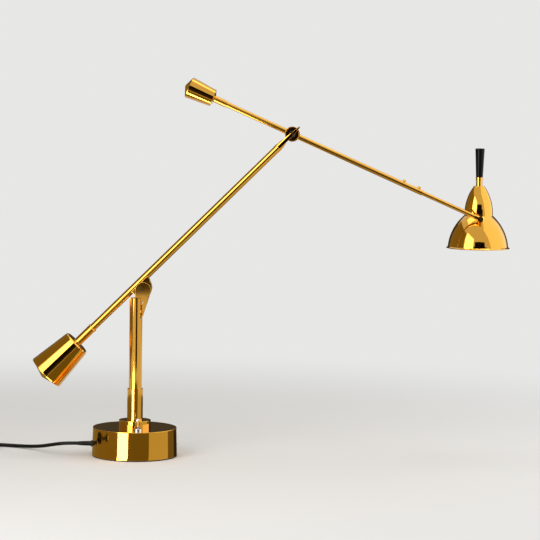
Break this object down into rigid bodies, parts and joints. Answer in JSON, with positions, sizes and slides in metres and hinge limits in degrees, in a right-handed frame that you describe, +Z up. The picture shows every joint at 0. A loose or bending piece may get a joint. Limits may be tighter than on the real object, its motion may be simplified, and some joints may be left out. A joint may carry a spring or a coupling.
{
  "type": "counterweight balance desk lamp",
  "caption": "Brass desk lamp with two balanced arms on conical counterweights, a turning column, a tilting bell shade with a black handle, a drum base with a toggle switch, and a coiled cord.",
  "frame": {"origin": "centre of the base's resting face on the table", "axes": "+Z up; +X towards the shade along the arms; -Y towards the side with the toggle switch"},
  "size_m": [1.0545, 0.2583, 0.6947],
  "materials": {
    "polished_brass": "polished",
    "black_rubber": "satin",
    "plain_steel": "satin",
    "black_steel": "satin",
    "cast_iron": "matte",
    "chrome": "polished",
    "black_plastic": "matte",
    "gloss_black_plastic": "gloss",
    "opal_glass": "satin"
  },
  "bodies": {
    "base": {"base_pad": "black_rubber", "base_plate": "plain_steel", "base_tie_screws": "plain_steel", "base_ballast": "cast_iron", "base_shell": "polished_brass", "base_collar": "polished_brass", "column_sleeve": "polished_brass", "sleeve_nut": "plain_steel", "swivel_bushes": "polished_brass", "swivel_stop_screw": "black_steel", "terminal_block": "black_plastic", "switch_body": "black_plastic", "switch_nut": "chrome", "cord_gland": "black_plastic", "cord_relief": "black_rubber", "inner_lead": "black_rubber", "cord_run": "black_rubber", "cord_coil": "black_rubber", "cord_tail": "black_rubber", "cord_tie": "black_plastic", "plug_body": "gloss_black_plastic", "plug_pins": "plain_steel"},
    "switch_lever": {"switch_lever": "chrome"},
    "column": {"column_tube": "polished_brass", "column_head": "polished_brass", "head_screws": "polished_brass", "shoulder_screw": "polished_brass", "column_wire": "black_rubber"},
    "lower_arm": {"lower_arm_tube": "polished_brass", "elbow_fork": "polished_brass", "elbow_screw": "polished_brass", "shoulder_disc": "polished_brass", "shoulder_washers": "polished_brass", "rear_sleeve": "polished_brass", "ferrule_rings": "polished_brass", "large_weight_shell": "polished_brass", "large_weight_core": "cast_iron", "large_weight_cap": "polished_brass", "lower_arm_wire": "black_rubber"},
    "upper_arm": {"elbow_disc": "polished_brass", "elbow_washers": "black_plastic", "upper_front_tube": "polished_brass", "upper_rear_tube": "polished_brass", "small_sleeve": "polished_brass", "small_weight_shell": "polished_brass", "small_weight_core": "cast_iron", "small_weight_cap": "polished_brass", "clamp_knobs": "polished_brass", "upper_arm_wire": "black_rubber"},
    "tip_rod": {"tip_rod": "polished_brass", "tip_eye": "polished_brass"},
    "shade": {"shade_dome": "polished_brass", "shade_bell": "polished_brass", "shade_bracket": "polished_brass", "neck_ferrules": "polished_brass", "shade_screw": "black_steel", "shade_handle": "gloss_black_plastic", "handle_stud": "plain_steel", "lamp_holder": "black_plastic", "bulb": "opal_glass"}
  },
  "joints": [
    {"name": "column_swivel", "type": "hinge", "parent": "base", "child": "column", "pos_m": [0, 0, 0.1], "axis": [0, 0, 1], "range_deg": [-155, 155]},
    {"name": "shoulder_hinge", "type": "hinge", "parent": "column", "child": "lower_arm", "pos_m": [0.0125, 0, 0.3062], "axis": [0, -1, 0], "range_deg": [-25, 9.5]},
    {"name": "elbow_hinge", "type": "hinge", "parent": "lower_arm", "child": "upper_arm", "pos_m": [0.28085, 0, 0.59505], "axis": [0, -1, 0], "range_deg": [-30, 45]},
    {"name": "rod_turn", "type": "hinge", "parent": "upper_arm", "child": "tip_rod", "pos_m": [0.28085, 0, 0.59505], "axis": [0.9174, 0, -0.3979], "range_deg": [-90, 90]},
    {"name": "shade_tilt", "type": "hinge", "parent": "tip_rod", "child": "shade", "pos_m": [0.62699, 0, 0.44491], "axis": [0, -1, 0], "range_deg": [-35, 90]},
    {"name": "switch_toggle", "type": "hinge", "parent": "base", "child": "switch_lever", "pos_m": [0.008, -0.047, 0.05536], "axis": [1, 0, 0], "range_deg": [-24, 0]}
  ]
}
